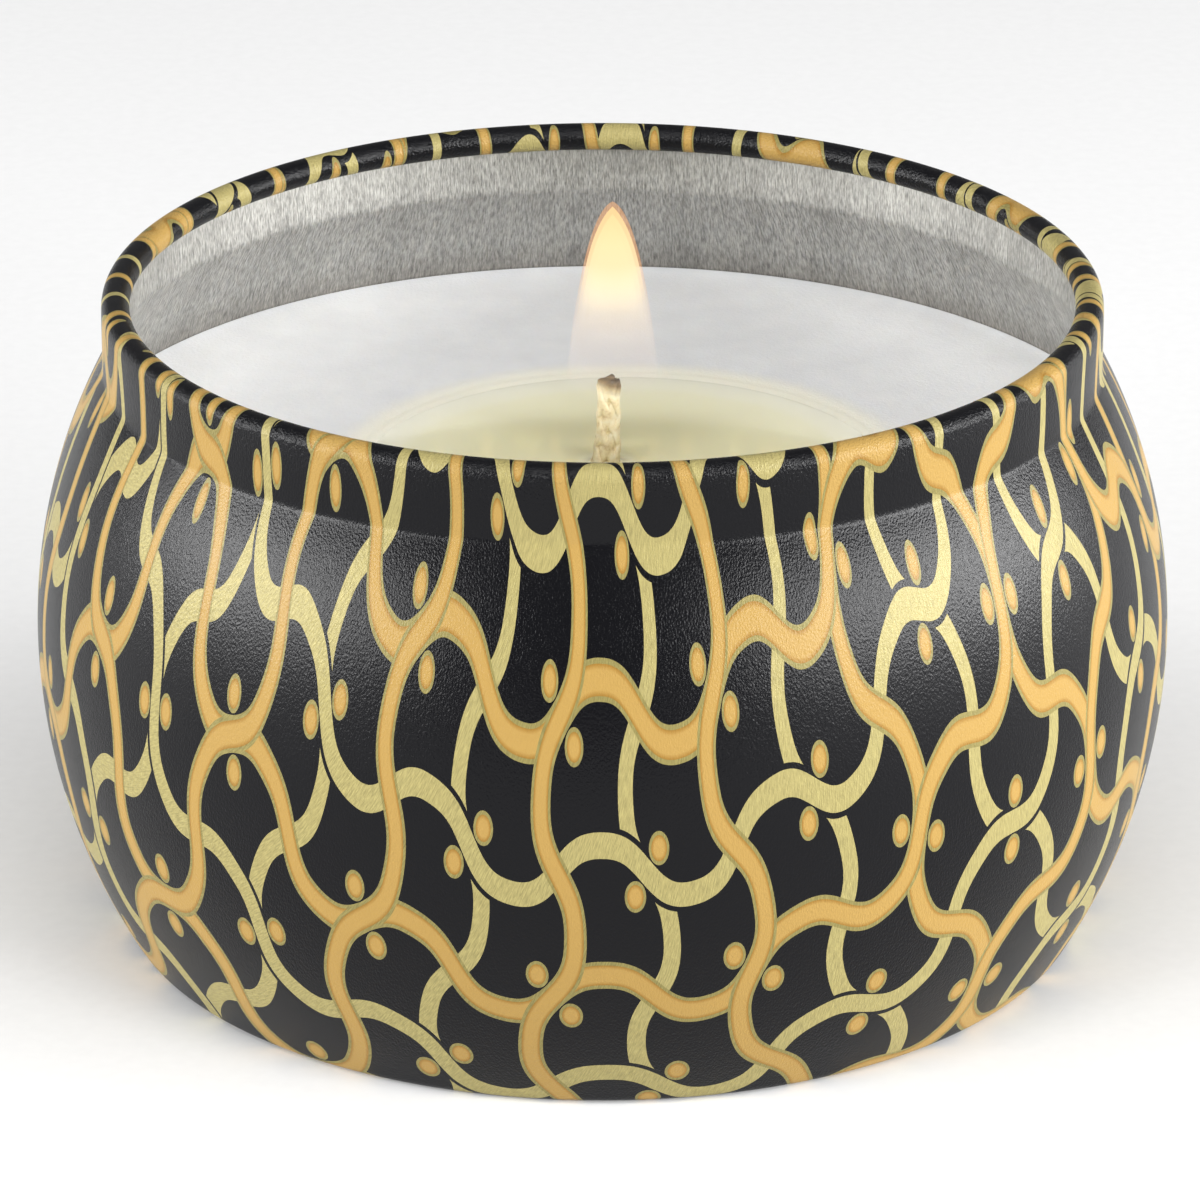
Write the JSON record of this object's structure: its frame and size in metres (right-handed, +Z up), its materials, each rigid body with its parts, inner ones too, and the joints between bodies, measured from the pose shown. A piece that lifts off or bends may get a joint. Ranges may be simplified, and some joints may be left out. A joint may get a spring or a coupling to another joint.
{
  "type": "candle tin",
  "caption": "Small round bulged tin with a curled rim and a straight lid neck, filled with wax and a wick, for burning as a container candle.",
  "frame": {"origin": "middle of the standing ring's plane under the base, on the surface that the tin stands on", "axes": "+Z up along the tin's axis, out of its mouth; +Y away from the viewer of the front; +X to the viewer's right"},
  "size_m": [0.076, 0.076, 0.0444],
  "materials": {
    "lacquered_tinplate": "satin",
    "label_paper": "matte",
    "sticker_foam": "matte",
    "tab_steel": "satin",
    "wick_cotton": "matte",
    "wax": "satin",
    "melted_wax": "gloss",
    "flame": "gloss"
  },
  "bodies": {
    "root": {"tin_shell": "lacquered_tinplate", "base_label": "label_paper", "wick_sticker": "sticker_foam", "wick_tab": "tab_steel", "wick": "wick_cotton", "wax_fill": "wax", "melt_pool": "melted_wax"}
  },
  "joints": []
}
